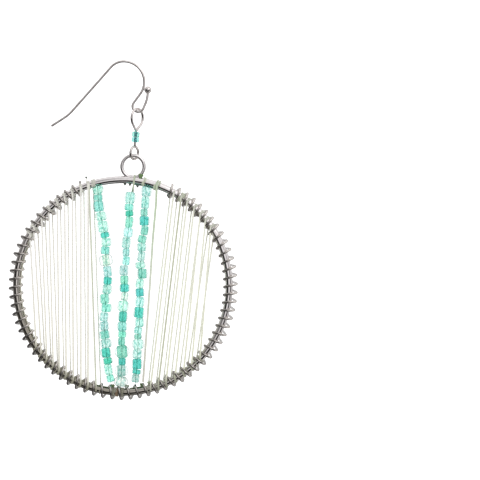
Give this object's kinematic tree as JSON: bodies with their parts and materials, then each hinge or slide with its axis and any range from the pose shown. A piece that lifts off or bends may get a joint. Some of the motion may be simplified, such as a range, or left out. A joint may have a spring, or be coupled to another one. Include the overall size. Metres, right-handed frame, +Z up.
{
  "type": "dangle earring",
  "caption": "Dangle earring: a French hook and a beaded wire link carry a large round wire hoop with an open spring wound round it and bead strings hung inside.",
  "frame": {"origin": "centre of the hook's wire at the top of its arch, where it hangs in the ear", "axes": "+Z up, -Y towards the hoop's front face, +X to the right as seen from the front, so the hook's tail points to -X"},
  "size_m": [0.0554, 0.0042, 0.0817],
  "materials": {
    "hook_steel": "polished",
    "hoop_steel": "polished",
    "spring_steel": "satin",
    "link_bead_glass": "clear, colour lined",
    "bead_glass": "clear, colour lined",
    "thread": "twisted sewing thread"
  },
  "bodies": {
    "hook": {"ear_hook": "hook_steel"},
    "link": {"wire_link": "hook_steel", "link_bead_upper": "link_bead_glass", "link_bead_lower": "link_bead_glass"},
    "drop": {"hoop": "hoop_steel", "spring_coil": "spring_steel", "bead_string_left": "bead_glass", "bead_string_middle": "bead_glass", "bead_string_right": "bead_glass"}
  },
  "joints": [
    {"name": "link_swing", "type": "hinge", "parent": "hook", "child": "link", "pos_m": [0.004, 0, -0.0118], "axis": [1, 0, 0], "range_deg": [-40, 40]},
    {"name": "hoop_swing", "type": "hinge", "parent": "link", "child": "drop", "pos_m": [0.004, 0, -0.02318], "axis": [0, 1, 0], "range_deg": [-20, 20]}
  ]
}
